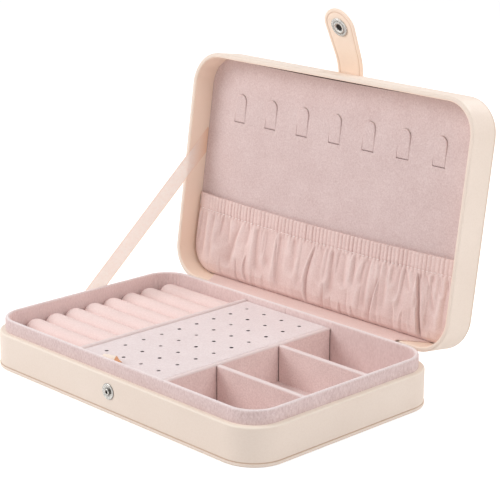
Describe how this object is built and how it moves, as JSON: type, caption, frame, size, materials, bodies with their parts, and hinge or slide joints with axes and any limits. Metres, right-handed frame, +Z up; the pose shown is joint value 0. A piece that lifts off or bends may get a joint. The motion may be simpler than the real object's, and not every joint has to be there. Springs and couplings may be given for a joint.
{
  "type": "jewelry box",
  "caption": "Shallow leather-covered jewelry case with a hinged lid on a stay ribbon, ring rolls, a lift-out earring board, cells, necklace tabs and a gathered lid pocket.",
  "frame": {"origin": "middle of the base's underside, on the table", "axes": "+X along the width to the right as seen from the front, +Y from the front wall to the hinge, +Z up"},
  "size_m": [0.2308, 0.1952, 0.2082],
  "materials": {
    "cream_leather": "fine-grained coated leather, low sheen",
    "strap_leather": "fine-grained coated leather, low sheen",
    "grey_board": "raw pressed board",
    "mauve_velvet": "short-pile velvet",
    "pale_velvet": "short-pile velvet on card",
    "roll_velvet": "short-pile velvet over foam",
    "foam": "soft foam",
    "pocket_cloth": "gathered soft cloth",
    "elastic": "flat elastic",
    "satin_ribbon": "satin ribbon",
    "snap_metal": "plated press stud"
  },
  "bodies": {
    "base": {"base_foot_leather": "cream_leather", "base_bottom_board": "grey_board", "base_wall_leather": "cream_leather", "base_wall_board": "grey_board", "collar_velvet": "mauve_velvet", "collar_board": "grey_board", "floor_lining": "mauve_velvet", "roll_bed": "foam", "ring_roll_1": "roll_velvet", "ring_roll_2": "roll_velvet", "ring_roll_3": "roll_velvet", "ring_roll_4": "roll_velvet", "ring_roll_5": "roll_velvet", "ring_roll_6": "roll_velvet", "ring_roll_7": "roll_velvet", "ring_roll_8": "roll_velvet", "ring_roll_9": "roll_velvet", "roll_partition": "pale_velvet", "tray_partition": "pale_velvet", "board_rest_left": "foam", "board_rest_right": "foam", "snap_stud": "snap_metal", "snap_rivet": "snap_metal", "hinge_leather": "cream_leather", "hinge_lining": "mauve_velvet", "stay_ribbon": "satin_ribbon"},
    "lid": {"lid_wall_leather": "cream_leather", "lid_wall_board": "grey_board", "lid_top_leather": "cream_leather", "lid_top_board": "grey_board", "lid_foam": "foam", "lid_panel": "mauve_velvet", "pocket_cloth": "pocket_cloth", "pocket_hem": "pocket_cloth", "pocket_elastic": "elastic", "strap_anchor": "strap_leather"},
    "strap": {"strap_flap": "strap_leather", "snap_socket": "snap_metal", "snap_cap": "snap_metal"},
    "earring_tray": {"earring_board": "pale_velvet", "board_pull_tab": "satin_ribbon"},
    "front_divider": {"cell_divider_front": "pale_velvet"},
    "rear_divider": {"cell_divider_rear": "pale_velvet"},
    "necklace_tab_1_body": {"necklace_tab_1": "mauve_velvet"},
    "necklace_tab_2_body": {"necklace_tab_2": "mauve_velvet"},
    "necklace_tab_3_body": {"necklace_tab_3": "mauve_velvet"},
    "necklace_tab_4_body": {"necklace_tab_4": "mauve_velvet"},
    "necklace_tab_5_body": {"necklace_tab_5": "mauve_velvet"},
    "necklace_tab_6_body": {"necklace_tab_6": "mauve_velvet"},
    "necklace_tab_7_body": {"necklace_tab_7": "mauve_velvet"}
  },
  "joints": [
    {"name": "lid_hinge", "type": "hinge", "parent": "base", "child": "lid", "pos_m": [0, 0.076, 0.0223], "axis": [1, 0, 0], "range_deg": [0, 98.2], "deforming": ["hinge_leather", "hinge_lining", "stay_ribbon"]},
    {"name": "strap_fold", "type": "hinge", "parent": "lid", "child": "strap", "pos_m": [0, 0.11887, 0.16767], "axis": [1, 0, 0], "range_deg": [0, 59], "stiffness_Nm_per_rad": 0.01},
    {"name": "board_lift", "type": "slide", "parent": "base", "child": "earring_tray", "axis": [0, 0, 1], "range_m": [0, 0.06]},
    {"name": "front_divider_lift", "type": "slide", "parent": "base", "child": "front_divider", "axis": [0, 0, 1], "range_m": [0, 0.06]},
    {"name": "rear_divider_lift", "type": "slide", "parent": "base", "child": "rear_divider", "axis": [0, 0, 1], "range_m": [0, 0.06]},
    {"name": "necklace_tab_1_flex", "type": "hinge", "parent": "lid", "child": "necklace_tab_1_body", "pos_m": [-0.0843, 0.1075, 0.12627], "axis": [1, 0, 0], "range_deg": [0, 15], "stiffness_Nm_per_rad": 0.002},
    {"name": "necklace_tab_2_flex", "type": "hinge", "parent": "lid", "child": "necklace_tab_2_body", "pos_m": [-0.0568, 0.1075, 0.12627], "axis": [1, 0, 0], "range_deg": [0, 15], "stiffness_Nm_per_rad": 0.002},
    {"name": "necklace_tab_3_flex", "type": "hinge", "parent": "lid", "child": "necklace_tab_3_body", "pos_m": [-0.0293, 0.1075, 0.12627], "axis": [1, 0, 0], "range_deg": [0, 15], "stiffness_Nm_per_rad": 0.002},
    {"name": "necklace_tab_4_flex", "type": "hinge", "parent": "lid", "child": "necklace_tab_4_body", "pos_m": [-0.0018, 0.1075, 0.12627], "axis": [1, 0, 0], "range_deg": [0, 15], "stiffness_Nm_per_rad": 0.002},
    {"name": "necklace_tab_5_flex", "type": "hinge", "parent": "lid", "child": "necklace_tab_5_body", "pos_m": [0.0257, 0.1075, 0.12627], "axis": [1, 0, 0], "range_deg": [0, 15], "stiffness_Nm_per_rad": 0.002},
    {"name": "necklace_tab_6_flex", "type": "hinge", "parent": "lid", "child": "necklace_tab_6_body", "pos_m": [0.0532, 0.1075, 0.12627], "axis": [1, 0, 0], "range_deg": [0, 15], "stiffness_Nm_per_rad": 0.002},
    {"name": "necklace_tab_7_flex", "type": "hinge", "parent": "lid", "child": "necklace_tab_7_body", "pos_m": [0.0807, 0.1075, 0.12627], "axis": [1, 0, 0], "range_deg": [0, 15], "stiffness_Nm_per_rad": 0.002}
  ]
}
